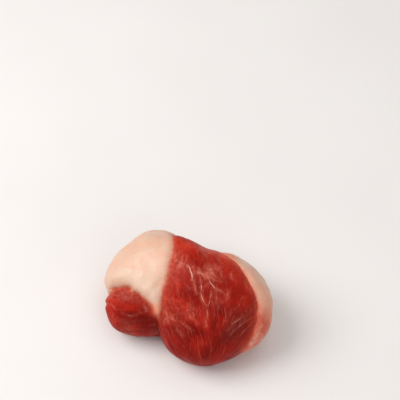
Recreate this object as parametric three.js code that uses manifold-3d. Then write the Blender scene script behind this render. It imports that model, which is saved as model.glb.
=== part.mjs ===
// Raw beef shank: one boneless chunk of shin, built as three pieces that hold together.
// A large muscle and a small one lie side by side. A layer of fat covers the small one and the
// back, runs between the muscles and comes out again along the right edge.
// Millimetres: +X to the right, +Y to the back, +Z up. The chunk rests on z = 0.

import * as THREE from "three";
import { mergeVertices } from "three/addons/utils/BufferGeometryUtils.js";
import Module from "manifold-3d";

const wasm = await Module();
wasm.setup();

// The lean faces look up and forwards. The chunk is laid out on a plane that looks the same way:
// a layout point is (across, up), and depth runs square to the plane, away from its front.
const LAYOUT_TILT = THREE.MathUtils.degToRad(62.4);
const LAYOUT_HEIGHT = 27; // of the layout's zero above the floor

// Driving dimensions of the chunk
const MAIN_MIDDLE = [17, -3, 1]; // across, up, depth
const MAIN_FRONT = 28; // how far the large muscle bulges before its outline
const MAIN_BACK = 33; // and behind it
const SMALL_MIDDLE = [-30, 6, 8];
const SMALL_FRONT = 20;
const SMALL_BACK = 27;
const FAT_MIDDLE = [-6, 2, 4];
const CAP_FAT = 5; // the fat on the small muscle
const RIM_FAT = 2.5; // and on the large one
const FAT_FADE = 4; // how gently the fat thins towards its edge
const FAT_DIVE = 2; // how far it goes under the lean outside its edge
const FAT_BRIDGE = 16; // how widely it fills the valley between the muscles
const LEAN_BRIDGE = 1.6; // and where lean meets lean
const MUSCLE_GAP = 1.5; // room between the two muscles, which the fat fills
const PIECE_GAP = 0.4; // free space between one piece and the next
const FOOT_ROUND = 5; // how softly a side turns into the flat underside
const BULGE_POWER = 2.3; // 2 is an ellipsoid, more is boxier
const MAIN_RIDGE = 0.7; // height of the muscles' ridges
const SMALL_RIDGE = 0.6;
const MAIN_REACH = 9; // how far back the lean goes round the edge of its face
const SMALL_REACH = 24;
const FACE_ROUND = 14; // how softly the border of a lean face turns round the back
const UNDERSIDE = { x: -6, y: -4, across: 50, deep: 37, rise: 8 }; // where lean shows below

// Triangles: a ball of detail n has 20 (n + 1) squared
const MAIN_DETAIL = 12;
const SMALL_DETAIL = 9;
const FAT_DETAIL = 17;
const OUTLINE_STEPS = 100;
const FARTHEST = 90; // no surface lies farther than this from the middle of its lump
const HALVINGS = 24;

// Edges of the two muscles, seen square to the layout plane
const MAIN_EDGE = outlineOf([
  [-9, 38], [-19, 32], [-26, 19], [-27, 5], [-23.5, -8], [-20, -20], [-16, -29], [-9, -36],
  [1, -41.5], [12, -43], [25, -39], [36, -33], [44, -26], [49, -17], [50.5, -7], [49.5, 1],
  [45, 10], [38, 18], [29, 24], [20, 27.5], [11, 31], [2, 36],
]);
const SMALL_EDGE = outlineOf([
  [-50, 2], [-53, -4], [-51.5, -12], [-48, -18], [-42, -22], [-35, -24.5], [-26, -25.5],
  [-16, -25], [-8, -17], [-6, -2], [-8, 17], [-12, 28], [-17, 35], [-25, 37], [-33, 33], [-41, 25.5],
  [-46, 18], [-49, 10],
]);

// Borders of the lean faces: outside them the fat lies on top
const MAIN_FACE = outlineOf([
  [-8, 41], [-9, 30], [-10.3, 21], [-12.3, 12], [-15.2, 4], [-17.8, -9], [-24, -20], [-24, -34],
  [-10, -52], [20, -56], [35, -32], [41, -20], [42.5, -3], [39, 6], [31, 19], [21.5, 26.5], [8, 46],
]);
const SMALL_FACE = outlineOf([
  [-60, -0.5], [-50, 1], [-46, 4.9], [-41, 5.8], [-36, 4.1], [-29.6, 1.5], [-24.5, -2.9],
  [-20.4, -8.3], [-15, -16], [-10, -30], [-28, -44], [-54, -38], [-64, -18],
]);

// A closed outline on the layout plane, as points joined by a smooth curve
function outlineOf(points) {
  const curve = new THREE.CatmullRomCurve3(
    points.map(([across, up]) => new THREE.Vector3(across, up, 0)),
    true,
  );
  return curve.getSpacedPoints(OUTLINE_STEPS).slice(0, -1);
}

const clamp01 = (x) => Math.min(1, Math.max(0, x));

// The lower of two distances, with the corner between them rounded over width k
const smoothMin = (a, b, k) => Math.min(a, b) - (Math.max(k - Math.abs(a - b), 0) ** 2) / (4 * k);
const smoothMax = (a, b, k) => -smoothMin(-a, -b, k);

function toLayout({ x, y, z }) {
  const rise = z - LAYOUT_HEIGHT;
  const sin = Math.sin(LAYOUT_TILT);
  const cos = Math.cos(LAYOUT_TILT);
  return { across: x, up: y * sin + rise * cos, depth: y * cos - rise * sin };
}

function fromLayout([across, up, depth]) {
  const sin = Math.sin(LAYOUT_TILT);
  const cos = Math.cos(LAYOUT_TILT);
  return new THREE.Vector3(across, up * sin + depth * cos, LAYOUT_HEIGHT + up * cos - depth * sin);
}

// Signed distance from a layout point to an outline, negative inside it
function outlineDistance(outline, across, up) {
  let nearest = Infinity;
  let inside = false;
  for (let i = 0, j = outline.length - 1; i < outline.length; j = i++) {
    const a = outline[j];
    const b = outline[i];
    const ex = b.x - a.x;
    const ey = b.y - a.y;
    const along = clamp01(((across - a.x) * ex + (up - a.y) * ey) / (ex * ex + ey * ey));
    nearest = Math.min(nearest, Math.hypot(across - a.x - along * ex, up - a.y - along * ey));
    if (a.y > up !== b.y > up && across < a.x + ((up - a.y) * ex) / ey) inside = !inside;
  }
  return inside ? -nearest : nearest;
}

// How far an outline lies from a point inside it, in the unit direction (across, up)
function outlineReach(outline, from, across, up) {
  for (let i = 0, j = outline.length - 1; i < outline.length; j = i++) {
    const ax = outline[j].x - from[0];
    const ay = outline[j].y - from[1];
    const ex = outline[i].x - outline[j].x;
    const ey = outline[i].y - outline[j].y;
    const turn = across * ey - up * ex;
    const along = (ax * up - ay * across) / turn;
    const reach = (ax * ey - ay * ex) / turn;
    if (along >= 0 && along < 1 && reach > 0) return reach;
  }
  return 1;
}

// A rounded lump as a signed distance along rays from its middle
function lump({ edge, middle, front, back, relief }) {
  return (place) => {
    const across = place.across - middle[0];
    const up = place.up - middle[1];
    const depth = place.depth - middle[2];
    const flat = Math.max(Math.hypot(across, up), 1e-6);
    const reach = Math.hypot(flat, depth);
    const side = outlineReach(edge, middle, across / flat, up / flat);
    const share =
      ((flat / side) ** BULGE_POWER + (Math.abs(depth) / (depth < 0 ? front : back)) ** BULGE_POWER) **
      (1 / BULGE_POWER);
    return reach - reach / share - relief(across / side, up / side, depth / front);
  };
}

// Bundles of muscle show as shallow ridges along the grain, `count` of them round it.
// They wander sideways on their way and are not all the same width.
function ridges(angle, along, count, height) {
  const wander = 1.6 * Math.sin(2.2 * along + angle);
  const uneven = 0.9 * Math.sin(3 * angle);
  return height * Math.sin(count * angle + wander + uneven);
}

// The large muscle's grain runs up its face, the small one's across it
const mainMuscle = lump({
  edge: MAIN_EDGE,
  middle: MAIN_MIDDLE,
  front: MAIN_FRONT,
  back: MAIN_BACK,
  relief: (across, up, depth) =>
    ridges(Math.atan2(depth, across), up, 6, MAIN_RIDGE) * clamp01(1 - up ** 2),
});
const smallMuscle = lump({
  edge: SMALL_EDGE,
  middle: SMALL_MIDDLE,
  front: SMALL_FRONT,
  back: SMALL_BACK,
  relief: (across, up, depth) =>
    ridges(Math.atan2(depth, up), across, 5, SMALL_RIDGE) * clamp01(1 - across ** 2),
});

// The chunk stands on a flat underside
const onFloor = (distance, p) => smoothMax(distance, -p.z, FOOT_ROUND);
const mainSurface = (p) => onFloor(mainMuscle(toLayout(p)), p);
const smallSurface = (p) => onFloor(smallMuscle(toLayout(p)), p);

// Distance beyond the nearest lean face: negative on lean, positive on fat
function beyondLean(p) {
  const { across, up, depth } = toLayout(p);
  const faces = Math.min(
    smoothMax(outlineDistance(MAIN_FACE, across, up), depth - MAIN_REACH, FACE_ROUND),
    smoothMax(outlineDistance(SMALL_FACE, across, up), depth - SMALL_REACH, FACE_ROUND),
  );
  const fromX = (p.x - UNDERSIDE.x) / UNDERSIDE.across;
  const fromY = (p.y - UNDERSIDE.y) / UNDERSIDE.deep;
  const below = (Math.hypot(fromX, fromY) - 1) * UNDERSIDE.deep;
  const underside = Math.max(below, p.z - UNDERSIDE.rise);
  return Math.min(faces, underside);
}

// The fat follows both muscles, fills the valley between them, and dives under the lean faces
function fatSurface(p) {
  const place = toLayout(p);
  const beyond = beyondLean(p);
  const toMain = mainMuscle(place);
  const toSmall = smallMuscle(place);
  const bridge = Math.max(FAT_BRIDGE * clamp01(1 + beyond / FAT_FADE), LEAN_BRIDGE);
  const muscles = smoothMin(toMain, toSmall, bridge);
  const onMain = clamp01(0.5 + (toSmall - toMain) / FAT_BRIDGE);
  const full = THREE.MathUtils.lerp(CAP_FAT, RIM_FAT, onMain);
  const cover = Math.max(full * Math.tanh(beyond / FAT_FADE), -FAT_DIVE);
  return onFloor(muscles - cover, p);
}

// The closed mesh of the surface where a distance is `grown`, seen from inside at `middle`
function skinOf(surface, middle, detail, grown = 0) {
  const ball = new THREE.IcosahedronGeometry(1, detail);
  ball.deleteAttribute("normal");
  ball.deleteAttribute("uv");
  const skin = mergeVertices(ball, 1e-5);
  const place = skin.attributes.position;
  const centre = fromLayout(middle);
  const way = new THREE.Vector3();
  const p = new THREE.Vector3();
  for (let i = 0; i < place.count; i++) {
    way.fromBufferAttribute(place, i).normalize();
    let inner = 0;
    let outer = FARTHEST;
    for (let step = 0; step < HALVINGS; step++) {
      const half = (inner + outer) / 2;
      p.copy(centre).addScaledVector(way, half);
      if (surface(p) < grown) inner = half;
      else outer = half;
    }
    p.copy(centre).addScaledVector(way, inner);
    place.setXYZ(i, p.x, p.y, p.z);
  }
  return skin;
}

function solidOf(geometry) {
  return new wasm.Manifold(
    new wasm.Mesh({
      numProp: 3,
      vertProperties: geometry.attributes.position.array,
      triVerts: new Uint32Array(geometry.index.array),
    }),
  );
}

function meshOf(name, solid, colour, roughness) {
  const { vertProperties, triVerts } = solid.getMesh();
  const geometry = new THREE.BufferGeometry()
    .setAttribute("position", new THREE.BufferAttribute(vertProperties, 3))
    .setIndex(new THREE.BufferAttribute(triVerts, 1));
  geometry.computeVertexNormals();
  const mesh = new THREE.Mesh(
    geometry,
    new THREE.MeshStandardMaterial({ color: colour, roughness, metalness: 0 }),
  );
  mesh.name = name;
  return mesh;
}

const skin = (surface, middle, detail, grown) => solidOf(skinOf(surface, middle, detail, grown));
const main = skin(mainSurface, MAIN_MIDDLE, MAIN_DETAIL);
const mainRoom = skin(mainSurface, MAIN_MIDDLE, MAIN_DETAIL, PIECE_GAP);
const seamRoom = skin(mainSurface, MAIN_MIDDLE, MAIN_DETAIL, MUSCLE_GAP);
const small = skin(smallSurface, SMALL_MIDDLE, SMALL_DETAIL).subtract(seamRoom);
const smallRoom = skin(smallSurface, SMALL_MIDDLE, SMALL_DETAIL, PIECE_GAP);
const fat = skin(fatSurface, FAT_MIDDLE, FAT_DETAIL).subtract(mainRoom).subtract(smallRoom);

const shank = new THREE.Group();
shank.add(meshOf("muscle_main", main, 0xa02c22, 0.4));
shank.add(meshOf("muscle_small", small, 0x8c2018, 0.4));
shank.add(meshOf("fat_layer", fat, 0xefc3a4, 0.45));

// The origin is the middle of the underside
const middle = new THREE.Box3().setFromObject(shank).getCenter(new THREE.Vector3());
for (const mesh of shank.children) mesh.geometry.translate(-middle.x, -middle.y, 0);

export default shank;
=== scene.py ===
"""Looks of a raw beef shank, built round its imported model.

One boneless chunk of shin. A large muscle and a small one lie side by side. A layer of fat covers
the small one and the back, runs down between the two and comes out again along the right edge.
Blender's lengths are metres, with +X to the right, +Y to the back and +Z up. Shapes are worked out
in millimetres and become metres when their mesh is made.
"""

import logging
import math
from collections.abc import Callable, Sequence
from dataclasses import dataclass, field
from enum import Enum

import bmesh
import bpy
import numpy as np
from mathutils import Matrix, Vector, noise


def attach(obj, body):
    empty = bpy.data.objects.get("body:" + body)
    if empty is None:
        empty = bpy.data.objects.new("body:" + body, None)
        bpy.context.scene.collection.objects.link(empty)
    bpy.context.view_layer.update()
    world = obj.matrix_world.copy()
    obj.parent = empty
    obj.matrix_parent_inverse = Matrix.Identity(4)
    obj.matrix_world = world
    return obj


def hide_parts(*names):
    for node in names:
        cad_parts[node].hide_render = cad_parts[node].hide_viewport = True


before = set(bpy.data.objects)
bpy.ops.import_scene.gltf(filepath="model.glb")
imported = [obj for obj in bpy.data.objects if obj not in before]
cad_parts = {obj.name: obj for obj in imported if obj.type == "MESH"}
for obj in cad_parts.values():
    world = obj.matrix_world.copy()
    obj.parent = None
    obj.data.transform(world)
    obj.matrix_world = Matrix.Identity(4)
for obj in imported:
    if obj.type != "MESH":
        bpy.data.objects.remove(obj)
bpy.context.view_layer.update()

MM = 0.001
TINY = 1e-6
FARTHEST = 90.0
HALVINGS = 18
Array = np.ndarray
Pair = tuple[float, float]
Triple = tuple[float, float, float]
Colour = tuple[float, float, float, float]
Surface = Callable[[Array], Array]
Piece = bpy.types.Object
Tree = bpy.types.NodeTree
Node = bpy.types.Node
Socket = bpy.types.NodeSocket
Material = bpy.types.Material
FLOAT, VECTOR, GEOMETRY = "NodeSocketFloat", "NodeSocketVector", "NodeSocketGeometry"
log = logging.getLogger("shank")


class Detail(Enum):
    """How finely a ball of rays is divided: 20 * 4 ** (value - 1) triangles."""

    TRIAL = 6
    FULL = 7


def smoothstep(x: Array) -> Array:
    """Turns 0..1 into a soft 0..1."""
    x = np.clip(x, 0.0, 1.0)
    return x * x * (3.0 - 2.0 * x)


def smooth_min(a: Array, b: Array, width: Array | float) -> Array:
    """The lower of two distances, with the corner between them rounded over a width."""
    return np.minimum(a, b) - np.maximum(width - np.abs(a - b), 0.0) ** 2 / (4.0 * width)


def smooth_max(a: Array, b: Array, width: float) -> Array:
    """The higher of two distances, with the corner between them rounded over a width."""
    return -smooth_min(-a, -b, width)


def unit(vectors: Array) -> Array:
    """Vectors made one long."""
    return vectors / np.linalg.norm(vectors, axis=-1, keepdims=True)


def raised(points: Array) -> Array:
    """Points moved up to the floor where they lie below it."""
    return np.maximum(points, (-np.inf, -np.inf, 0.0))


@dataclass(frozen=True)
class Ripple:
    """A layer of smooth noise: how wide its swells are, which seed shifts it and how high it is."""

    wide: float
    seed: float
    high: float = 1.0

    def at(self, points: Array) -> Array:
        """The layer's height at N points, from about -high to high."""
        moved = points / self.wide + self.seed * np.array((1.0, 2.3, -1.7))
        return self.high * np.array([noise.noise(Vector(p)) for p in moved])


def rippled(points: Array, *ripples: Ripple) -> Array:
    """The height of some ripples together."""
    return sum(ripple.at(points) for ripple in ripples)


def leave(surface: Surface, starts: Array, ways: Array) -> Array:
    """Where rays leave a surface.

    Args:
        surface: gives the signed distance of N points from it.
        starts: N points inside it, or one point for all, in millimetres.
        ways: N unit vectors.

    Returns:
        N points of the room, in millimetres.
    """
    inner, outer = np.zeros(len(ways)), np.full(len(ways), FARTHEST)
    for _ in range(HALVINGS):
        half = (inner + outer) / 2
        inside = surface(starts + ways * half[:, None]) < 0
        inner, outer = np.where(inside, half, inner), np.where(inside, outer, half)
    return starts + ways * inner[:, None]


@dataclass(frozen=True)
class Layout:
    """The tilted plane that the chunk is laid out on, which looks up and forwards.

    A place on it is (across, up, depth), and depth runs square to the plane, away from its front.
    """

    tilt: float = math.radians(62.4)
    zero: Triple = (0.334, -2.3135, 27.0)

    @property
    def axes(self) -> Array:
        """The directions across, up and into the depth, one in each row."""
        sin, cos = math.sin(self.tilt), math.cos(self.tilt)
        return np.array(((1.0, 0.0, 0.0), (0.0, sin, cos), (0.0, cos, -sin)))

    def places(self, points: Array) -> Array:
        """Turns points of the room into places on the layout."""
        return (points - self.zero) @ self.axes.T

    def points(self, places: Array) -> Array:
        """Turns places on the layout into points of the room."""
        return places @ self.axes + self.zero


LAYOUT = Layout()


def to_stretch(off: Array, edge: Array) -> Array:
    """Distance from the stretch that an edge spans, for spots counted from its start."""
    along = np.clip(off @ edge / (edge @ edge), 0.0, 1.0)
    return np.hypot(*(off - along[:, None] * edge).T)


def line_distance(line: Sequence[Pair], places: Array) -> Array:
    """Distance of places from an open line on the layout, seen square to it."""
    stretches = zip(np.array(line), np.diff(line, axis=0))
    return np.min([to_stretch(places[:, :2] - start, edge) for start, edge in stretches], axis=0)


def near_line(line: Sequence[Pair], wide: float, places: Array) -> Array:
    """A soft band of some width along a line on the layout, 1 on the line itself."""
    return np.exp(-((line_distance(line, places) / wide) ** 2))


def run_of(line: Array) -> Array:
    """How far along a line each of its points lies."""
    return np.append(0.0, np.cumsum(np.linalg.norm(np.diff(line, axis=0), axis=1)))


def stops_on(line: Array, stops: Array) -> Array:
    """The spots of a line on the layout after each of some distances along it."""
    return np.stack([np.interp(stops, run_of(line), line[:, k]) for k in (0, 1)], axis=1)


class Outline:
    """A closed smooth curve on the layout."""

    STEPS = 100
    FINE = 24
    CELL = 0.5
    LOW = (-76.0, -72.0)
    CELLS = (304, 288)
    ANGLES = 720

    def __init__(self, *corners: Pair) -> None:
        """Draws the curve through the corners and measures the room round it.

        Args:
            corners: the points (across, up) that the curve passes through.
        """
        self.line = self._spaced(np.array(corners, float))
        self.ahead = np.roll(self.line, -1, axis=0)
        across, up = (low + self.CELL * np.arange(n) for low, n in zip(self.LOW, self.CELLS))
        grid = np.stack(np.meshgrid(across, up, indexing="ij"), axis=-1).reshape(-1, 2)
        self.room = self._measured(grid).reshape(self.CELLS)

    def _spaced(self, corners: Array) -> Array:
        """Lays points along the curve.

        Args:
            corners: the points that the curve passes through.

        Returns:
            evenly spaced points of it.
        """
        share = np.arange(self.FINE)[:, None] / self.FINE
        pieces = []
        for i in range(len(corners)):
            p0, p1, p2, p3 = (corners[(i + k) % len(corners)] for k in (-1, 0, 1, 2))
            gaps = ((p0, p1), (p1, p2), (p2, p3))
            d0, d1, d2 = (math.sqrt(float(np.linalg.norm(b - a))) for a, b in gaps)
            t1 = ((p1 - p0) / d0 - (p2 - p0) / (d0 + d1) + (p2 - p1) / d1) * d1
            t2 = ((p2 - p1) / d1 - (p3 - p1) / (d1 + d2) + (p3 - p2) / d2) * d1
            square = (3 * (p2 - p1) - 2 * t1 - t2) * share**2
            pieces.append(p1 + t1 * share + square + (2 * (p1 - p2) + t1 + t2) * share**3)
        loop = np.vstack([*pieces, pieces[0][:1]])
        return stops_on(loop, run_of(loop)[-1] * np.arange(self.STEPS) / self.STEPS)

    def _measured(self, spots: Array) -> Array:
        """Measures how far spots lie from the curve.

        Args:
            spots: N spots (across, up).

        Returns:
            N distances in millimetres, negative inside the curve.
        """
        nearest = np.full(len(spots), np.inf)
        inside = np.zeros(len(spots), bool)
        for a, b in zip(self.line, self.ahead):
            edge, off = b - a, spots - a
            nearest = np.minimum(nearest, to_stretch(off, edge))
            if a[1] != b[1]:
                crosses = (a[1] > spots[:, 1]) != (b[1] > spots[:, 1])
                inside ^= crosses & (off[:, 0] < off[:, 1] * edge[0] / edge[1])
        return np.where(inside, -nearest, nearest)

    def distance(self, places: Array) -> Array:
        """Signed distance from places to the curve, seen square to the layout.

        Args:
            places: N places on the layout.

        Returns:
            N distances in millimetres, negative inside the curve.
        """
        spot = (places[:, :2] - self.LOW) / self.CELL
        spot = np.clip(spot, 0.0, np.array(self.CELLS) - 1.001)
        cell = spot.astype(int)
        (i, j), (s, t) = cell.T, (spot - cell).T
        low = self.room[i, j] * (1 - s) + self.room[i + 1, j] * s
        high = self.room[i, j + 1] * (1 - s) + self.room[i + 1, j + 1] * s
        return low * (1 - t) + high * t

    def reaches(self, middle: Triple) -> Array:
        """Measures the curve from a place inside it.

        Args:
            middle: the place.

        Returns:
            how far the curve lies from it, for evenly spaced angles.
        """
        start = self.line - middle[:2]
        edge = self.ahead - self.line
        found = np.zeros(self.ANGLES)
        for i, angle in enumerate(np.arange(self.ANGLES) * 2 * math.pi / self.ANGLES):
            way = (math.cos(angle), math.sin(angle))
            turn = way[0] * edge[:, 1] - way[1] * edge[:, 0]
            along = (start[:, 0] * way[1] - start[:, 1] * way[0]) / turn
            reach = (start[:, 0] * edge[:, 1] - start[:, 1] * edge[:, 0]) / turn
            found[i] = reach[(along >= 0) & (along < 1) & (reach > 0)].max()
        return found


@dataclass
class Lump:
    """A rounded lump with low ridges, and the way its fibres run.

    Its fibres run from one pole to the other, all round the line between them.
    """

    edge: Outline
    middle: Triple
    front: float
    back: float
    upright: bool
    ridges: int
    ridge_height: float
    poles: tuple[Triple, Triple]
    power: float = 2.3
    sway: float = 1.6
    sway_pitch: float = 2.2
    wobble: float = 0.9
    slow: float = 0.13
    turning: tuple[Ripple, ...] = (Ripple(24.0, 2.0, 0.2), Ripple(9.0, 6.0, 0.07))
    reaches: Array = field(init=False)

    def __post_init__(self) -> None:
        """Measures how far the edge lies from the middle."""
        self.reaches = self.edge.reaches(self.middle)

    def distance(self, places: Array) -> Array:
        """Signed distance of places from the lump's surface.

        Args:
            places: N places on the layout.

        Returns:
            N distances in millimetres, negative inside the lump.
        """
        across, up, depth = (places - self.middle).T
        turn = np.arctan2(up, across) / (2 * math.pi) % 1.0 * len(self.reaches)
        table = np.append(self.reaches, self.reaches[0])
        side = np.interp(turn, np.arange(len(table)), table)
        flat = np.maximum(np.hypot(across, up), TINY)
        reach = np.hypot(flat, depth)
        bulge = np.where(depth < 0, self.front, self.back)
        share = (flat / side) ** self.power + (np.abs(depth) / bulge) ** self.power
        share = share ** (1 / self.power)
        u, v, w = across / side, up / side, depth / self.front
        across_grain, along = (u, v) if self.upright else (v, u)
        angle = np.arctan2(w, across_grain)
        wander = self.sway * np.sin(self.sway_pitch * along + angle)
        wander += self.wobble * np.sin(3 * angle)
        ridge = self.ridge_height * np.sin(self.ridges * angle + wander)
        return reach - reach / share - ridge * np.clip(1 - along**2, 0.0, 1.0)

    @property
    def frame(self) -> tuple[Array, Array, Array, Array]:
        """The line that the fibres turn round.

        Returns:
            the first pole, the unit vector to the other one, and two square to it.
        """
        first, last = np.array(self.poles)
        axis = unit(last - first)
        side = unit(np.cross((0.0, 0.0, 1.0), axis))
        return first, axis, side, np.cross(axis, side)

    def fibres(self, places: Array) -> tuple[Array, Array]:
        """Where places lie among the fibres.

        Args:
            places: N places on the layout.

        Returns:
            N vectors that turn round the muscle in x and y and run slowly along its fibres in z,
            in millimetres, and N distances from the line that the fibres turn round.
        """
        first, axis, side, square = self.frame
        off = places - first
        along, x, y = off @ axis, off @ side, off @ square
        far = np.maximum(np.hypot(x, y), TINY)
        turn = np.arctan2(y, x) + rippled(places, *self.turning)
        girth = 0.5 * (self.front + self.back)
        around = np.stack((np.cos(turn) * girth, np.sin(turn) * girth, along * self.slow), axis=1)
        return around, far


MAIN_LUMP = Lump(
    edge=Outline(
        (-9, 38), (-19, 32), (-26, 19), (-27, 5), (-23.5, -8), (-20, -20), (-16, -29), (-9, -36),
        (1, -41.5), (12, -43), (25, -39), (36, -33), (44, -26), (49, -17), (50.5, -7), (49.5, 1),
        (45, 10), (38, 18), (29, 24), (20, 27.5), (11, 31), (2, 36),
    ),
    middle=(17.0, -3.0, 1.0),
    front=28.0,
    back=33.0,
    upright=True,
    ridges=6,
    ridge_height=0.7,
    poles=((11.0, -48.0, 1.0), (-2.0, 34.0, 22.0)),
)
SMALL_LUMP = Lump(
    edge=Outline(
        (-50, 2), (-53, -4), (-51.5, -12), (-48, -18), (-42, -22), (-35, -24.5), (-26, -25.5),
        (-16, -25), (-8, -17), (-6, -2), (-8, 17), (-12, 28), (-17, 35), (-25, 37), (-33, 33),
        (-41, 25.5), (-46, 18), (-49, 10),
    ),
    middle=(-30.0, 6.0, 8.0),
    front=20.0,
    back=27.0,
    upright=False,
    ridges=5,
    ridge_height=0.6,
    poles=((-58.0, 6.0, 4.0), (-12.0, 6.0, 2.0)),
)
MAIN_FACE = Outline(
    (-8, 41), (-9, 30), (-10.3, 21), (-12.3, 12), (-15.2, 4), (-17.8, -9), (-24, -20), (-24, -34),
    (-10, -52), (20, -56), (35, -32), (41, -20), (42.5, -3), (39, 6), (31, 19), (21.5, 26.5), (8, 46),
)
SMALL_FACE = Outline(
    (-60, -0.5), (-50, 1), (-46, 4.9), (-41, 5.8), (-36, 4.1), (-29.6, 1.5), (-24.5, -2.9),
    (-20.4, -8.3), (-15, -16), (-10, -30), (-28, -44), (-54, -38), (-64, -18),
)
MAIN_REACH = 9.0
SMALL_REACH = 24.0
FACE_ROUND = 14.0
FOOT_ROUND = 5.0
PATCH_DEPTH = 20.0
PATCH_FADE = 16.0
CREASE_FADE = 5.0
BACK_DEPTH = 1.0
BACK_FADE = 8.0
SHARP = math.radians(50)


@dataclass(frozen=True)
class Underside:
    """The oval patch below the chunk where the lean shows."""

    middle: Pair = (-6.0, -4.0)
    size: Pair = (50.0, 37.0)
    rise: float = 8.0

    def distance(self, points: Array) -> Array:
        """Distance of points beyond the patch, negative in it."""
        x, y = ((points[:, :2] - LAYOUT.zero[:2] - self.middle) / self.size).T
        return np.maximum((np.hypot(x, y) - 1.0) * self.size[1], points[:, 2] - self.rise)


UNDERSIDE = Underside()


def on_floor(distance: Array, points: Array) -> Array:
    """Cuts a shape off flat at the floor, with a soft corner."""
    return smooth_max(distance, -points[:, 2], FOOT_ROUND)


@dataclass(frozen=True)
class Ball:
    """Rays in all directions, and the triangles between them."""

    ways: Array
    faces: list[list[int]]

    @staticmethod
    def of(detail: Detail) -> "Ball":
        """Makes the rays from a divided icosahedron.

        Args:
            detail: how finely it is divided.

        Returns:
            the ball.
        """
        ball = bmesh.new()
        bmesh.ops.create_icosphere(ball, subdivisions=detail.value, radius=1.0)
        ways = np.array([v.co[:] for v in ball.verts])
        faces = [[v.index for v in f.verts] for f in ball.faces]
        ball.free()
        return Ball(unit(ways), faces)

    def skin(self, surface: Surface, middle: Triple) -> Array:
        """Where the rays from a place on the layout leave a surface."""
        return leave(surface, LAYOUT.points(np.array([middle])), self.ways)


def placed(thing: Piece) -> Piece:
    """Puts an object in the scene."""
    bpy.context.scene.collection.objects.link(thing)
    return thing


def new_piece(
    name: str, points: Array, faces: Sequence[Sequence[int]], edges: Sequence[tuple[int, int]] = ()
) -> Piece:
    """Makes a smooth shaded mesh object.

    Args:
        name: the object's name.
        points: its vertices, in millimetres.
        faces: the vertices of each of its faces.
        edges: the vertices of edges that have no face.

    Returns:
        the object.
    """
    mesh = bpy.data.meshes.new(name)
    mesh.from_pydata((points * MM).tolist(), edges, faces)
    mesh.shade_smooth()
    return placed(bpy.data.objects.new(name, mesh))


def points_of(piece: Piece) -> Array:
    """A piece's vertices, in millimetres."""
    return np.array([v.co[:] for v in piece.data.vertices]) / MM


def store(piece: Piece, name: str, *values: Array) -> None:
    """Keeps an attribute for the material.

    Args:
        piece: the object.
        name: the attribute's name.
        values: one number for each vertex, or three.
    """
    kind, key = ("FLOAT", "value") if len(values) == 1 else ("FLOAT_VECTOR", "vector")
    made = piece.data.attributes.new(name, kind, "POINT")
    made.data.foreach_set(key, np.stack(values, axis=1).astype(np.float32).ravel())


def settle(piece: Piece) -> None:
    """Turns a piece's modifiers into its plain mesh.

    Args:
        piece: the object.
    """
    now = piece.evaluated_get(bpy.context.evaluated_depsgraph_get())
    spent, piece.data = piece.data, bpy.data.meshes.new_from_object(now)
    piece.modifiers.clear()
    bpy.data.meshes.remove(spent)
    piece.data.name = piece.name


def cut(piece: Piece, *tools: Piece) -> None:
    """Takes some room out of a piece.

    Args:
        piece: the object.
        tools: the objects that fill the room, which are removed.
    """
    for tool in tools:
        step = piece.modifiers.new("cut", "BOOLEAN")
        step.operation, step.solver, step.object = "DIFFERENCE", "MANIFOLD", tool
    settle(piece)
    for tool in tools:
        bpy.data.objects.remove(tool)
    piece.data.materials.clear()
    piece.data.polygons.foreach_set("material_index", np.zeros(len(piece.data.polygons), np.int32))
    piece.data.set_sharp_from_angle(angle=SHARP)


@dataclass(frozen=True)
class Patch:
    """A soft oval spot on the layout, turned by so many degrees."""

    across: float
    up: float
    long: float
    wide: float
    turn: float
    amount: float

    def at(self, places: Array) -> Array:
        """The spot's strength.

        Args:
            places: N places on the layout.

        Returns:
            N values, the whole amount in the middle of the spot.
        """
        turn = math.radians(self.turn)
        x, y = places[:, 0] - self.across, places[:, 1] - self.up
        u = (x * math.cos(turn) + y * math.sin(turn)) / self.long
        v = (y * math.cos(turn) - x * math.sin(turn)) / self.wide
        return self.amount * np.exp(-(u * u + v * v))


def patches(*rows: Sequence[float]) -> tuple[Patch, ...]:
    """Patches from rows of across, up, long, wide, turn and amount."""
    return tuple(Patch(*row) for row in rows)


def summed(spots: Sequence[Patch], places: Array) -> Array:
    """All patches together, which show on the front and the sides of the chunk."""
    shown = smoothstep((PATCH_DEPTH - places[:, 2]) / PATCH_FADE)
    return sum(spot.at(places) for spot in spots) * shown


@dataclass(frozen=True)
class Crease:
    """A groove along a line on the layout."""

    line: tuple[Pair, ...]
    wide: float
    deep: float


@dataclass(frozen=True)
class Thread:
    """A thread of connective tissue that lies on a muscle's face, and the pale halo round it."""

    line: tuple[Pair, ...]
    thick: float
    halo: float


def lined(kind: type, *rows: tuple) -> tuple:
    """Creases or threads from rows of two sizes and the spots that the line passes."""
    return tuple(kind(row[2:], *row[:2]) for row in rows)


def sunken(creases: Sequence[Crease], places: Array) -> Array:
    """How deep creases are on the front of the chunk."""
    depths = (crease.deep * near_line(crease.line, crease.wide, places) for crease in creases)
    return sum(depths) * smoothstep(-places[:, 2] / CREASE_FADE)


BORDER_SHIFTS = patches(
    (-12, 10, 14, 6, 70, 0.1), (-18.5, -8, 5, 2.5, 100, 1.8), (24, 27, 8, 4, -20, 0.3),
    (-37, 6, 3.5, 2.5, 0, -1.9), (-21, -11, 3, 2.5, 0, 1.4),
)
BORDER_RIPPLES = (Ripple(7.0, 33.0, 0.8), Ripple(3.4, 41.0, 0.25))
BACK_RIPPLES = (Ripple(17.0, 21.0, 5.0), Ripple(6.0, 25.0, 1.5))


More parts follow.
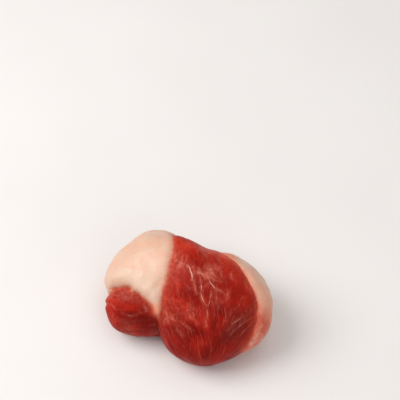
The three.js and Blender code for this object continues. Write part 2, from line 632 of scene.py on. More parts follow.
def border_waver(places: Array) -> Array:
    """How far the border between lean and fat strays, which is farther on the back."""
    behind = rippled(places, *BACK_RIPPLES) * smoothstep((places[:, 2] - BACK_DEPTH) / BACK_FADE)
    return rippled(places, *BORDER_RIPPLES) + behind + summed(BORDER_SHIFTS, places)


def beyond_lean(points: Array, waver: Array | float = 0.0) -> Array:
    """Distance beyond the nearest lean face.

    Args:
        points: N points of the room, in millimetres.
        waver: how far the border strays at each of them.

    Returns:
        N distances in millimetres, negative on lean and positive on fat.
    """
    places = LAYOUT.places(points)
    main = smooth_max(MAIN_FACE.distance(places), places[:, 2] - MAIN_REACH, FACE_ROUND)
    small = smooth_max(SMALL_FACE.distance(places), places[:, 2] - SMALL_REACH, FACE_ROUND)
    return np.minimum(np.minimum(main, small), UNDERSIDE.distance(points)) + waver


def linear(*colour: int) -> Colour:
    """A colour as it looks on screen, 0 to 255, made linear."""
    parts = (c / 255 for c in colour)
    return (*(p / 12.92 if p <= 0.04045 else ((p + 0.055) / 1.055) ** 2.4 for p in parts), 1.0)


class Shader:
    """Helps to lay out the nodes of one tree."""

    def __init__(self, tree: Tree) -> None:
        """Works in a node tree."""
        self.tree = tree

    def put(self, node: Node, values: dict[str | int, object]) -> None:
        """Fills inputs of a node.

        Args:
            node: the node.
            values: for an input's name or number a socket, a node, or else its plain value.
        """
        for key, value in values.items():
            if isinstance(value, Node):
                value = value.outputs[0]
            if isinstance(value, Socket):
                self.tree.links.new(value, node.inputs[key])
            else:
                node.inputs[key].default_value = value

    def add(self, kind: str, values: dict[str | int, object], **settings: object) -> Node:
        """Adds a node.

        Args:
            kind: its type.
            values: what its inputs are filled with.
            settings: its own settings, which are made first.

        Returns:
            the node.
        """
        node = self.tree.nodes.new(kind)
        for name, value in settings.items():
            setattr(node, name, value)
        self.put(node, values)
        return node

    def maths(self, operation: str, *values: object) -> Node:
        """A Math node."""
        return self.add("ShaderNodeMath", dict(enumerate(values)), operation=operation)

    def times(self, a: object, b: object, plus: object = 0.0) -> Node:
        """The product of two values, and a third one added."""
        return self.maths("MULTIPLY_ADD", a, b, plus)

    def shifted(self, vector: object, step: Triple) -> Node:
        """A vector moved by a step."""
        return self.add("ShaderNodeVectorMath", {0: vector, 1: step}, operation="ADD")

    def blend(self, share: object, under: object, over: object) -> Socket:
        """A colour between two others."""
        inputs = {0: share, 6: under, 7: over}
        return self.add("ShaderNodeMix", inputs, data_type="RGBA", clamp_factor=True).outputs[2]

    def noise(
        self, place: object, scale: object, detail: float = 2.0, roughness: float = 0.5
    ) -> Node:
        """A Noise Texture, whose value is about 0.5 on average."""
        inputs = {"Vector": place, "Scale": scale, "Detail": detail, "Roughness": roughness}
        return self.add("ShaderNodeTexNoise", inputs)

    def grain(self, *texture: object) -> Node:
        """A Noise Texture's value, moved down to about 0 on average."""
        return self.maths("SUBTRACT", self.noise(*texture), 0.5)

    def steps(self, value: object, low: float, high: float) -> Node:
        """0 below low, 1 above high, and smooth between."""
        inputs = {"Value": value, "From Min": low, "From Max": high}
        return self.add("ShaderNodeMapRange", inputs, interpolation_type="SMOOTHSTEP")

    def attribute(self, name: str, output: str) -> Socket:
        """A vertex attribute of the piece."""
        return self.add("ShaderNodeAttribute", {}, attribute_name=name).outputs[output]

    def three(self, name: str) -> list[Socket]:
        """The three values of a vertex attribute of the piece."""
        return list(self.add("ShaderNodeSeparateXYZ", {0: self.attribute(name, "Vector")}).outputs)

    def place(self) -> Socket:
        """Object coordinates, in metres."""
        return self.add("ShaderNodeTexCoord", {}).outputs["Object"]


class Group(Shader):
    """The tree of a new node group."""

    def __init__(
        self, name: str, kind: str, inputs: dict[str, str | float], outputs: dict[str, str]
    ) -> None:
        """Starts the group.

        Args:
            name: its name.
            kind: the type of its tree.
            inputs: the type of each input, or else the plain value of a number.
            outputs: the type of each output.
        """
        super().__init__(bpy.data.node_groups.new(name, kind))
        for way, sockets in (("INPUT", inputs), ("OUTPUT", outputs)):
            for label, what in sockets.items():
                kind = what if isinstance(what, str) else FLOAT
                socket = self.tree.interface.new_socket(label, in_out=way, socket_type=kind)
                if kind != what:
                    socket.default_value = what
        self.given = self.add("NodeGroupInput", {}).outputs[: len(inputs)]

    def end(self, values: dict[str, object]) -> Tree:
        """Fills the group's outputs, and gives its tree."""
        self.add("NodeGroupOutput", values)
        return self.tree


class Skin(Shader):
    """The tree of a new material, round its Principled BSDF."""

    def __init__(self, name: str) -> None:
        """Starts the material.

        Args:
            name: its name.
        """
        self.made = bpy.data.materials.new(name)
        self.made.use_nodes = True
        super().__init__(self.made.node_tree)

    def end(self, values: dict[str, object]) -> Material:
        """Fills the shader's inputs, and gives the material."""
        self.put(self.tree.nodes["Principled BSDF"], values)
        return self.made


class Effects:
    """Shader groups that more than one material uses."""

    def __init__(self) -> None:
        """Builds each group once."""
        self.streaks = self._streaks()
        self.moisture = self._moisture()

    @staticmethod
    def _streaks() -> Tree:
        """Bundles, finer fibres, pale strokes and a height that all follow the fibres.

        Returns:
            the group's tree.
        """
        inputs = {"Fibres": VECTOR, "Bundle Width": 4.0, "Fibre Width": 1.1}
        outputs = dict.fromkeys(("Bundle", "Fibre", "Stroke", "Height"), FLOAT)
        group = Group("fibre_streaks", "ShaderNodeTree", inputs, outputs)
        fibres, bundle_width, fibre_width = group.given
        scale = group.maths("DIVIDE", 1.0, fibre_width)
        bundle = group.noise(fibres, group.maths("DIVIDE", 1.0, bundle_width), 3.0, 0.55)
        fibre = group.noise(fibres, scale, 3.0, 0.6)
        moved = group.shifted(fibres, (31.0, 7.0, 13.0))
        strokes = group.steps(group.noise(moved, scale), 0.56, 0.68)
        gaps = group.steps(group.noise(moved, 0.2, 1.0), 0.44, 0.62)
        return group.end(
            {
                "Bundle": group.maths("SUBTRACT", bundle, 0.5),
                "Fibre": group.maths("SUBTRACT", fibre, 0.5),
                "Stroke": group.times(strokes, gaps),
                "Height": group.times(fibre, 0.5, group.times(bundle, 0.5)),
            }
        )

    @staticmethod
    def _moisture() -> Tree:
        """Wetter and drier spots, as a roughness, and the small pebbles of a moist skin.

        Returns:
            the group's tree.
        """
        inputs = {"Wet": 0.34, "Dry": 0.5, "Spot Size": 6.0}
        outputs = dict.fromkeys(("Roughness", "Height"), FLOAT)
        group = Group("moisture", "ShaderNodeTree", inputs, outputs)
        wet, dry, size = group.given
        place = group.place()
        scale = group.maths("DIVIDE", 1.0 / MM, size)
        spots = group.steps(group.noise(place, scale), 0.35, 0.65)
        rough = group.times(spots, group.maths("SUBTRACT", dry, wet), wet)
        pebbles = group.noise(place, group.times(scale, 4.5), 3.0, 0.55)
        return group.end({"Roughness": rough, "Height": pebbles})


@dataclass(frozen=True, kw_only=True)
class MoistFinish:
    """What the chunk's finishes share: light sinks in a little, and low relief is wet in spots."""

    name: str
    sink: float
    shine: float
    wet: float
    dry: float
    relief: float
    pebbles: float = 1.0
    scatter: float = 0.15
    spread: Triple = (1.0, 0.35, 0.22)
    strength: float = 0.8

    def end(self, skin: Skin, effects: Effects, colour: Socket, height: object = 0.0) -> Material:
        """Ends a material.

        Args:
            skin: its tree.
            effects: the shader groups.
            colour: its colour.
            height: the relief below its pebbles, 0 to 1.

        Returns:
            the material.
        """
        spots = {"Wet": self.wet, "Dry": self.dry}
        moisture = skin.add("ShaderNodeGroup", spots, node_tree=effects.moisture).outputs
        relief = {
            "Strength": self.strength,
            "Distance": self.relief * MM,
            "Height": skin.times(moisture["Height"], self.pebbles, height),
        }
        return skin.end(
            {
                "Base Color": colour,
                "Roughness": moisture["Roughness"],
                "Specular IOR Level": self.shine,
                "Normal": skin.add("ShaderNodeBump", relief),
                "Subsurface Weight": self.scatter,
                "Subsurface Radius": self.spread,
                "Subsurface Scale": self.sink * MM,
            }
        )


@dataclass(frozen=True, kw_only=True)
class LeanFinish(MoistFinish):
    """Moist raw lean meat: red, streaked along its fibres, with paler veils and lines."""

    sink: float = 1.5
    shine: float = 0.07
    wet: float = 0.3
    dry: float = 0.5
    relief: float = 0.25
    pebbles: float = 0.35
    deep: Colour
    bright: Colour
    vivid: Colour
    brown: Colour
    pale: Colour
    rim: Colour = linear(206, 88, 64)
    bundles: float = 0.95
    fibres: float = 0.75
    strokes: float = 0.2

    def material(self, effects: Effects) -> Material:
        """Builds the material from the piece's fibres, tones and marks attributes.

        Args:
            effects: the shader groups.

        Returns:
            the material.
        """
        skin = Skin(self.name)
        fibres = {"Fibres": skin.attribute("fibres", "Vector")}
        streaks = skin.add("ShaderNodeGroup", fibres, node_tree=effects.streaks)
        bundle, fibre, stroke, height = streaks.outputs[:4]
        # The first value is painted light and shade, mixed with the lean's own lighter and darker tone.
        light, veil, brown = skin.three("tones")
        halo, border, lively = skin.three("marks")
        place = skin.place()
        clouds, spots = skin.grain(place, 95.0), skin.grain(place, 420.0, 3.0, 0.6)

        mottle = skin.times(fibre, self.fibres, skin.times(bundle, self.bundles))
        mottle = skin.times(spots, 0.6, skin.times(clouds, 1.1, mottle))
        # The level from deep to bright red carries the painted light and shade along with the mottling.
        level = skin.times(mottle, lively, skin.times(light, 0.5, 0.5))
        colour = skin.blend(level, self.deep, self.bright)
        colour = skin.blend(skin.maths("SUBTRACT", level, 1.0), colour, self.vivid)
        colour = skin.blend(skin.times(brown, 0.8), colour, self.brown)
        edge = skin.times(border, skin.times(spots, 2.0, 1.0))
        colour = skin.blend(edge, colour, self.rim)

        frayed = skin.steps(skin.times(fibre, 0.8, spots), -0.16, 0.22)
        frayed = skin.times(frayed, 0.75, 0.2)
        lines = skin.times(stroke, self.strokes)
        pale = skin.maths("MAXIMUM", skin.times(veil, frayed), lines)
        pale = skin.maths("MAXIMUM", pale, skin.times(skin.times(halo, 0.6), frayed))
        return self.end(skin, effects, skin.blend(pale, colour, self.pale), height)


@dataclass(frozen=True, kw_only=True)
class FatFinish(MoistFinish):
    """Smooth cream fat, peach and pink at its borders, with a waxy sheen."""

    name: str = "fat"
    sink: float = 2.5
    shine: float = 0.5
    wet: float = 0.36
    dry: float = 0.55
    relief: float = 0.2
    cream: Colour = linear(221, 187, 163)
    peach: Colour = linear(230, 156, 122)
    pink: Colour = linear(200, 84, 56)
    fading: float = 0.54

    def material(self, effects: Effects) -> Material:
        """Builds the material from the piece's marks attribute.

        Args:
            effects: the shader groups.

        Returns:
            the material.
        """
        skin = Skin(self.name)
        peach, beyond, pink = skin.three("marks")
        place = skin.place()
        clouds = skin.noise(place, 110.0, 3.0, 0.55)
        grains = skin.grain(place, 620.0, 3.0, 0.6)
        level = skin.times(skin.maths("SUBTRACT", clouds, 0.5), 1.2, peach)
        colour = skin.blend(skin.times(grains, 0.7, level), self.cream, self.peach)
        spotty = skin.times(pink, skin.steps(clouds, 0.2, 0.6))
        thin = skin.maths("POWER", self.fading, beyond)
        stain = skin.times(thin, skin.times(grains, 1.4, 0.85), spotty)
        return self.end(skin, effects, skin.blend(stain, colour, self.pink))


@dataclass(frozen=True, kw_only=True)
class ThreadFinish(MoistFinish):
    """Moist threads of connective tissue, paler where they are thicker."""

    name: str = "thread"
    sink: float = 1.0
    shine: float = 0.3
    wet: float = 0.34
    dry: float = 0.48
    relief: float = 0.08
    pale: Colour = linear(226, 156, 138)
    pink: Colour = linear(182, 76, 60)

    def material(self, effects: Effects) -> Material:
        """Builds the material from the threads' thick attribute.

        Args:
            effects: the shader groups.

        Returns:
            the material.
        """
        skin = Skin(self.name)
        thick = skin.steps(skin.attribute("thick", "Fac"), 0.06 * MM, 0.36 * MM)
        level = skin.maths("ADD", thick, skin.grain(skin.place(), 210.0))
        return self.end(skin, effects, skin.blend(level, self.pink, self.pale))


@dataclass
class Muscle:
    """One muscle of the chunk."""

    name: str
    node: str
    slot: str
    lump: Lump
    finish: LeanFinish
    # Painted light and shade: patches that make the lean lighter or darker, mixed with its own lighter
    # and darker tone.
    light: tuple[Patch, ...]
    veil: tuple[Patch, ...]
    brown: tuple[Patch, ...]
    calm: tuple[Patch, ...]
    swells: tuple[Patch, ...]
    creases: tuple[Crease, ...]
    threads: tuple[Thread, ...]
    bundles: Ripple = Ripple(4.5, 3.0, 0.35)
    strands: Ripple = Ripple(1.9, 8.0, 0.16)
    broad: Ripple = Ripple(13.0, 12.0, 0.5)
    fibre_depth: float = 24.0
    smoothed: float = 0.8
    smooth_border: float = 2.5
    fine_foot: float = 3.0
    broad_foot: float = 6.0
    halo_width: float = 1.3
    halo_fade: float = 4.0
    rim_level: float = 0.8
    rim_width: float = 1.8

    def surface(self, points: Array) -> Array:
        """Signed distance of points from the muscle, flat at the floor."""
        return on_floor(self.lump.distance(LAYOUT.places(points)), points)

    def relief(self, points: Array) -> Array:
        """Height of the fibre bundles, swells and creases.

        Args:
            points: N points of the surface.

        Returns:
            N heights in millimetres.
        """
        places = LAYOUT.places(points)
        around, axis = self.lump.fibres(places)
        fine = rippled(around, self.bundles, self.strands) * smoothstep(axis / self.fibre_depth)
        border = beyond_lean(points, border_waver(places)) / self.smooth_border
        fine *= 1.0 - self.smoothed * np.exp(-(border**2))
        fine *= smoothstep(points[:, 2] / self.fine_foot)
        broad = self.broad.at(points) + summed(self.swells, places) - sunken(self.creases, places)
        return fine + broad * smoothstep(points[:, 2] / self.broad_foot)

    def skin(self, ball: Ball, grown: float = 0.0) -> Array:
        """The muscle's surface points, moved out by a small distance."""
        points = ball.skin(self.surface, self.lump.middle)
        return raised(points + ball.ways * (self.relief(points) + grown)[:, None])

    def build(self, ball: Ball) -> Piece:
        """Makes the muscle's mesh."""
        return new_piece(self.name, self.skin(ball), ball.faces)

    def halo(self, places: Array) -> Array:
        """How strong the threads' pale halos are."""
        halos = [t.halo * near_line(t.line, self.halo_width, places) for t in self.threads]
        return np.max(halos, axis=0) * smoothstep(-places[:, 2] / self.halo_fade)

    def dress(self, piece: Piece, effects: Effects) -> None:
        """Writes the attributes that the finish reads, and gives the piece its finish.

        Args:
            piece: the muscle's mesh object.
            effects: the shader groups.
        """
        points = points_of(piece)
        places = LAYOUT.places(points)
        store(piece, "fibres", *self.lump.fibres(places)[0].T)
        # light is painted light and shade, partly the lean's own tone; veil and brown are its colour.
        light, veil, brown = (summed(p, places) for p in (self.light, self.veil, self.brown))
        store(piece, "tones", light, np.clip(veil, 0, 1), np.clip(brown, 0, 1))
        inside = np.minimum(beyond_lean(points, border_waver(places)), 0.0)
        border = self.rim_level * np.exp(inside / self.rim_width)
        store(piece, "marks", self.halo(places), border, 1.0 - summed(self.calm, places))
        piece.data.materials.append(self.finish.material(effects))
        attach(piece, "root")
        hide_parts(self.node)
        log.info("%s: %d triangles", self.name, len(piece.data.polygons))


@dataclass
class FatLayer:
    """The fat over the small muscle and the back, between the muscles and along the right edge."""

    bulges: tuple[Patch, ...]
    creases: tuple[Crease, ...]
    # Peach tint; patches with a negative amount make the fat a lighter cream, which is painted light on
    # the bulge above the small muscle and on the rounded edge over its left end.
    peach: tuple[Patch, ...]
    pink: tuple[Patch, ...]
    name: str = "fat_cap"
    cap: float = 5.0
    rim: float = 2.5
    fade: float = 4.0
    dive: float = 2.0
    bridge: float = 16.0
    lean_bridge: float = 1.6
    sunk: float = 0.12
    below: float = 1.5
    foot: float = 5.0
    back_depth: float = -2.0
    back_fade: float = 12.0
    far: float = 20.0
    peach_level: float = 0.25
    stain_level: float = 0.45
    middle: Triple = (-6.0, 2.0, 4.0)
    finish: FatFinish = FatFinish()
    swells: tuple[Ripple, ...] = (Ripple(12.0, 4.0, 0.55), Ripple(4.0, 8.0, 0.16))
    rolls: Ripple = Ripple(19.0, 95.0, 0.5)
    folds: Ripple = Ripple(21.0, 90.0)
    fold_width: float = 0.07
    fold_depth: float = 0.4
    stains: tuple[Ripple, ...] = (Ripple(14.0, 70.0), Ripple(4.0, 74.0, 0.3))

    def surface(self, points: Array, waver: Array | float = 0.0) -> Array:
        """Signed distance from the fat's outside, flat at the floor.

        Args:
            points: N points of the room, in millimetres.
            waver: how far the border strays at each of them.

        Returns:
            N distances in millimetres.
        """
        places = LAYOUT.places(points)
        beyond = beyond_lean(points, waver)
        to_main, to_small = MAIN_LUMP.distance(places), SMALL_LUMP.distance(places)
        bridge = self.bridge * np.clip(1 + beyond / self.fade, 0, 1)
        muscles = smooth_min(to_main, to_small, np.maximum(bridge, self.lean_bridge))
        on_main = np.clip(0.5 + (to_small - to_main) / self.bridge, 0.0, 1.0)
        full = self.cap + (self.rim - self.cap) * on_main
        cover = np.maximum(full * np.tanh(beyond / self.fade), -self.dive)
        return on_floor(muscles - cover, points)

    def behind(self, places: Array) -> Array:
        """0 on the front of the chunk and 1 on its back."""
        return smoothstep((places[:, 2] - self.back_depth) / self.back_fade)

    def relief(self, points: Array) -> Array:
        """Height of the fat's swells, folds and creases.

        Args:
            points: N points of the surface.

        Returns:
            N heights in millimetres.
        """
        places = LAYOUT.places(points)
        height = rippled(points, *self.swells) + summed(MAIN.swells + SMALL.swells, places)
        height += summed(self.bulges, places) - sunken(self.creases, places)
        folds = np.exp(-((self.folds.at(points) / self.fold_width) ** 2))
        height += (self.rolls.at(points) - self.fold_depth * folds) * self.behind(places)
        return height * smoothstep(points[:, 2] / self.foot)

    def room(self, ball: Ball, muscle: Muscle) -> Piece:
        """Makes the room of a muscle, carried on below the floor so that no film is left there.

        Args:
            ball: the rays that find surfaces.
            muscle: the muscle.

        Returns:
            an object that fills the room.
        """
        points = muscle.skin(ball, -self.sunk)
        points[:, 2] -= self.below * (1.0 - smoothstep(points[:, 2] / self.below))
        return new_piece("room", points, ball.faces)

    def build(self, ball: Ball, muscles: Sequence[Muscle]) -> Piece:
        """Makes the fat's mesh.

        Args:
            ball: the rays that find surfaces.
            muscles: the muscles whose room is cut out of it.

        Returns:
            the object.
        """
        waver = border_waver(LAYOUT.places(ball.skin(self.surface, self.middle)))
        points = ball.skin(lambda spots: self.surface(spots, waver), self.middle)
        points = raised(points + ball.ways * self.relief(points)[:, None])
        piece = new_piece(self.name, points, ball.faces)
        cut(piece, *(self.room(ball, muscle) for muscle in muscles))
        return piece

    def dress(self, piece: Piece, effects: Effects) -> None:
        """Writes the attributes that the finish reads, and gives the piece its finish.

        Args:
            piece: the fat's mesh object.
            effects: the shader groups.
        """
        points = points_of(piece)
        places = LAYOUT.places(points)
        beyond = np.clip(beyond_lean(points, border_waver(places)), 0.0, self.far)
        stains = smoothstep((rippled(points, *self.stains) - 0.12) / 0.5)
        pink = summed(self.pink, places) + self.stain_level * stains * self.behind(places)
        # The peach level holds painted light where it is lowered to a lighter cream.
        store(piece, "marks", self.peach_level + summed(self.peach, places), beyond, pink)
        piece.data.materials.append(self.finish.material(effects))
        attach(piece, "root")
        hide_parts("fat_layer")
        log.info("%s: %d triangles", piece.name, len(piece.data.polygons))


@dataclass
class ThreadWork:
    """The threads of connective tissue on a muscle: named ones, and fine ones all round it.

    The pairs are the lowest and the highest value of a random draw.
    """

    muscle: Muscle
    count: int
    seed: int
    spacing: float = 0.7
    waver: float = 0.2
    sides: int = 6
    stride: float = 0.9
    uneven: Ripple = Ripple(3.0, 50.0, 0.6)
    stops: int = 26
    starts: Pair = (0.1, 0.9)
    lengths: Pair = (0.05, 0.2)
    drifts: Pair = (-0.05, 0.05)
    widths: Pair = (0.05, 0.12)
    inside: float = 1.5
    clear: float = 2.0
    sunk: float = 0.7

    def _laid(self, thread: Thread) -> tuple[Array, Array]:
        """Lays a named thread on the muscle.

        Args:
            thread: the thread.

        Returns:
            its points on the surface, and its thickness at each of them, in millimetres.
        """
        line = np.array(thread.line)
        run = run_of(line)[-1]
        share = np.linspace(0.0, 1.0, max(5, int(run / self.stride)))
        spots = stops_on(line, share * run)
        spots[1:-1] = (spots[:-2] + 2 * spots[1:-1] + spots[2:]) / 4
        depth = np.full(len(spots), self.muscle.lump.middle[2])
        starts = LAYOUT.points(np.column_stack((spots, depth)))
        points = leave(self.muscle.surface, starts, np.tile(-LAYOUT.axes[2], (len(spots), 1)))
        thick = thread.thick * (0.8 + self.uneven.at(points))
        return points, thick * (0.25 + 0.75 * np.sin(math.pi * share) ** 0.7)

    def _strand(self, draw: np.random.Generator) -> tuple[Array, Array]:
        """Lays a thread along the fibres at a random place on the muscle.

        Args:
            draw: the source of random numbers.

        Returns:
            its points on the surface, and its thickness at each of them, in millimetres.
        """
        first, axis, side, square = self.muscle.lump.frame
        length = np.linalg.norm(np.subtract(*self.muscle.lump.poles))
        angle, start = draw.uniform(0, 2 * math.pi), draw.uniform(*self.starts)
        long, drift = draw.uniform(*self.lengths), draw.uniform(*self.drifts)
        share = np.linspace(0.0, 1.0, self.stops)
        along = length * np.clip(start + (share - 0.5) * long, 0.06, 0.94)
        turn = (angle + drift * np.sin(share * 4.0))[:, None]
        centres = first + axis * along[:, None]
        spokes = side * np.cos(turn) + square * np.sin(turn)
        starts = LAYOUT.points(centres)
        points = leave(self.muscle.surface, starts, LAYOUT.points(centres + spokes) - starts)
        thick = np.sin(math.pi * (0.04 + 0.92 * share)) ** 0.6
        return points, draw.uniform(*self.widths) * thick

    def guides(self) -> Piece:
        """Lays all threads as edges, with a thick attribute.

        Returns:
            a mesh object of edges.
        """
        draw = np.random.default_rng(self.seed)
        laid = [self._laid(thread) for thread in self.muscle.threads]
        wanted = len(laid) + self.count
        while len(laid) < wanted:
            points, thick = self._strand(draw)
            if beyond_lean(points).max() < -self.inside and points[:, 2].min() > self.clear:
                laid.append((points, thick))
        joined, thick = (np.concatenate(part) for part in zip(*laid))
        ways = unit(joined - LAYOUT.points(np.array([self.muscle.lump.middle])))
        joined += ways * (self.muscle.relief(joined) - self.sunk * thick)[:, None]
        edges, start = [], 0
        for points, _ in laid:
            edges += [(i, i + 1) for i in range(start, start + len(points) - 1)]
            start += len(points)
        piece = new_piece(f"{self.muscle.name}_threads", joined, [], edges)
        store(piece, "thick", thick * MM)
        return piece

    @staticmethod
    def tree() -> Tree:
        """Geometry nodes that turn guide edges into thin uneven tubes.

        Returns:
            the tree.
        """
        inputs = {
            "Geometry": GEOMETRY,
            "Spacing": FLOAT,
            "Waver": FLOAT,
            "Sides": "NodeSocketInt",
            "Material": "NodeSocketMaterial",
        }
        work = Group("thread_tubes", "GeometryNodeTree", inputs, {"Geometry": GEOMETRY})
        geometry, spacing, waver, sides, material = work.given
        curve = work.add("GeometryNodeMeshToCurve", {"Mesh": geometry})
        lengths = {"Curve": curve, "Length": spacing}
        even = work.add("GeometryNodeResampleCurve", lengths, mode="LENGTH")
        wander = work.add("ShaderNodeTexNoise", {"Scale": 0.28 / MM}).outputs["Color"]
        centred = {0: work.shifted(wander, (-0.5, -0.5, -0.5)), "Scale": waver}
        offset = work.add("ShaderNodeVectorMath", centred, operation="SCALE")
        moved = work.add("GeometryNodeSetPosition", {"Geometry": even, "Offset": offset})
        ring = work.add("GeometryNodeCurvePrimitiveCircle", {"Radius": 1.0, "Resolution": sides})
        thick = work.add("GeometryNodeInputNamedAttribute", {"Name": "thick"}, data_type="FLOAT")
        sweep = {"Curve": moved, "Profile Curve": ring, "Scale": thick, "Fill Caps": True}
        tube = work.add("GeometryNodeCurveToMesh", sweep)
        smooth = work.add("GeometryNodeSetShadeSmooth", {"Geometry": tube})
        real = work.add("GeometryNodeRealizeInstances", {"Geometry": smooth})
        dressed = work.add("GeometryNodeSetMaterial", {"Geometry": real, "Material": material})
        return work.end({"Geometry": dressed})

    def build(self, tree: Tree, material: Material) -> None:
        """Makes the threads' mesh.

        Args:
            tree: the tube nodes.
            material: the threads' finish.
        """
        piece = self.guides()
        step = piece.modifiers.new("tubes", "NODES")
        step.node_group = tree
        values = {
            "Spacing": self.spacing * MM,
            "Waver": self.waver * MM,
            "Sides": self.sides,
            "Material": material,
        }
        for socket in tree.interface.items_tree:
            if socket.in_out == "INPUT" and socket.name in values:
                step[socket.identifier] = values[socket.name]
        settle(piece)
        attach(piece, "root")
        log.info("%s: %d faces", piece.name, len(piece.data.polygons))


